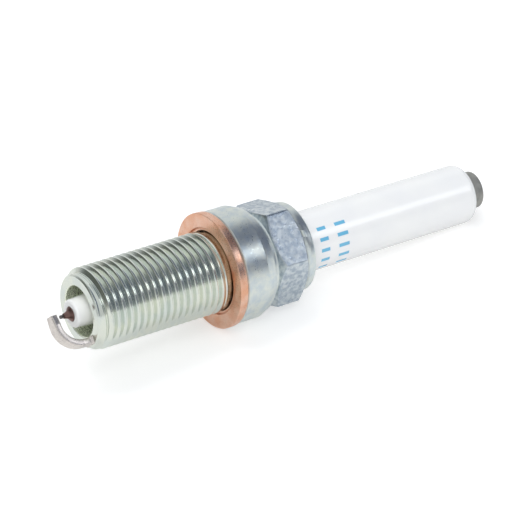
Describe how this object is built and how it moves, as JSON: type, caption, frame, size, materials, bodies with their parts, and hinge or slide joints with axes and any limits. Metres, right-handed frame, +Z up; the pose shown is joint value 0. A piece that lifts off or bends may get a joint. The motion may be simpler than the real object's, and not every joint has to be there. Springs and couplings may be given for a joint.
{
  "type": "spark plug",
  "caption": "Long-reach threaded spark plug with a hexagonal shell, captive sealing washer, white glazed insulator, fine-wire centre electrode and bent ground strap.",
  "frame": {"origin": "centre of the cylinder head seat (the flange's sealing face), on the plug's axis", "axes": "-Y along the axis to the firing end, +Y to the terminal, +Z up; the plug lies on its side"},
  "size_m": [0.0197, 0.084, 0.0196],
  "materials": {
    "zinc_plated_steel": "bright zinc plate with a faint green and yellow tint",
    "copper": "bare soft copper, salmon coloured",
    "nickel_alloy_strap": "bare nickel alloy, satin",
    "glazed_alumina": "white glazed alumina ceramic",
    "packing_steel": "plain steel",
    "talc": "pressed talc powder",
    "nickel_alloy_sheath": "nickel alloy with a brown heat tint",
    "copper_core": "copper",
    "iridium": "iridium alloy wire, dark satin",
    "conductive_glass": "metal filled glass, dark grey, opaque",
    "resistor_composition": "carbon and ceramic composition, black",
    "satin_nickel_plated_steel": "dark satin nickel plate"
  },
  "bodies": {
    "plug": {"metal_shell": "zinc_plated_steel", "ground_electrode": "nickel_alloy_strap", "insulator": "glazed_alumina", "plate_packing": "packing_steel", "lower_packing_ring": "packing_steel", "upper_packing_ring": "packing_steel", "talc_filling": "talc", "center_electrode": "nickel_alloy_sheath", "center_electrode_core": "copper_core", "electrode_tip": "iridium", "lower_glass_seal": "conductive_glass", "resistor": "resistor_composition", "upper_glass_seal": "conductive_glass", "terminal_stud": "satin_nickel_plated_steel"},
    "gasket": {"gasket": "copper"}
  },
  "joints": [
    {"name": "gasket_spin", "type": "hinge", "parent": "plug", "child": "gasket", "pos_m": [0, 0, 0], "axis": [0, -1, 0], "continuous": true}
  ]
}
